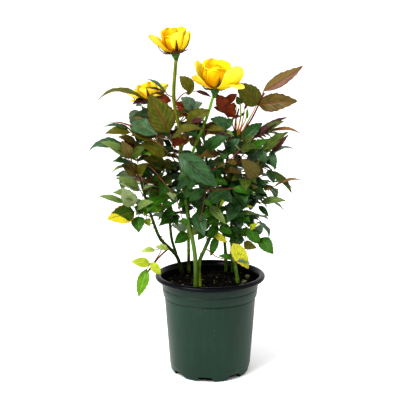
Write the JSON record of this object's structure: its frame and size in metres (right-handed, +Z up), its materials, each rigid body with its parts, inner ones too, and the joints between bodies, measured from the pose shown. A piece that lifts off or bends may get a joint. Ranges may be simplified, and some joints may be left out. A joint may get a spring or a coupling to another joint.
{
  "type": "potted rose bush",
  "caption": "Potted rose bush: slender canes rising from a round plastic pot, open clumps of toothed compound leaves, and yellow cupped blooms above them.",
  "frame": {"origin": "centre of the pot's flat underside", "axes": "+Z up, -Y the front of the bush, +X to its right when seen from the front"},
  "size_m": [0.242, 0.1869, 0.4087],
  "materials": {
    "pot": "satin dark green moulded plastic with a blackish rim",
    "soil": "crumbly, almost black potting mix with bark and pale grit",
    "cane": "smooth green bark, browner at the foot, with bud rings and a few prickles",
    "shoot": "thin reddish young shoots and leaf stalks",
    "petals": "velvety yellow petals, deeper orange inside",
    "leaves_dark": "satin dark green toothed leaves with pale veins",
    "leaves_bronze": "young olive and bronze leaves with red margins",
    "leaves_pale": "satin mid and light green leaves",
    "leaves_yellow": "ageing yellow leaves with green left in them"
  },
  "bodies": {
    "root": {"pot": "pot", "soil": "soil", "cane_left": "cane", "cane_middle": "cane", "cane_front": "cane", "cane_front_fork": "cane", "cane_right": "cane", "cane_right_back": "cane", "cane_right_outer": "cane", "cane_left_fork": "cane", "shoot_crest": "shoot", "shoot_middle": "shoot", "shoot_front": "shoot", "shoot_back_low": "shoot", "shoot_back_right": "shoot", "stalk_yellow_left": "shoot", "stalk_yellow_right": "shoot", "bloom_tall": "petals", "bloom_wide": "petals", "bloom_left": "petals", "leaves_left_top": "leaves_bronze", "leaves_middle_top": "leaves_bronze", "leaves_right_crest": "leaves_bronze", "leaves_back_top": "leaves_bronze", "leaves_left_shoulder": "leaves_dark", "leaves_middle_front": "leaves_dark", "leaves_middle_low": "leaves_dark", "leaves_right_shoulder": "leaves_dark", "leaves_right_middle": "leaves_dark", "leaves_right_low": "leaves_dark", "leaves_back_left": "leaves_dark", "leaves_back_right": "leaves_dark", "leaves_left_low": "leaves_pale", "leaves_back_low": "leaves_pale", "leaves_yellow_left": "leaves_yellow", "leaves_yellow_right": "leaves_yellow"}
  },
  "joints": []
}
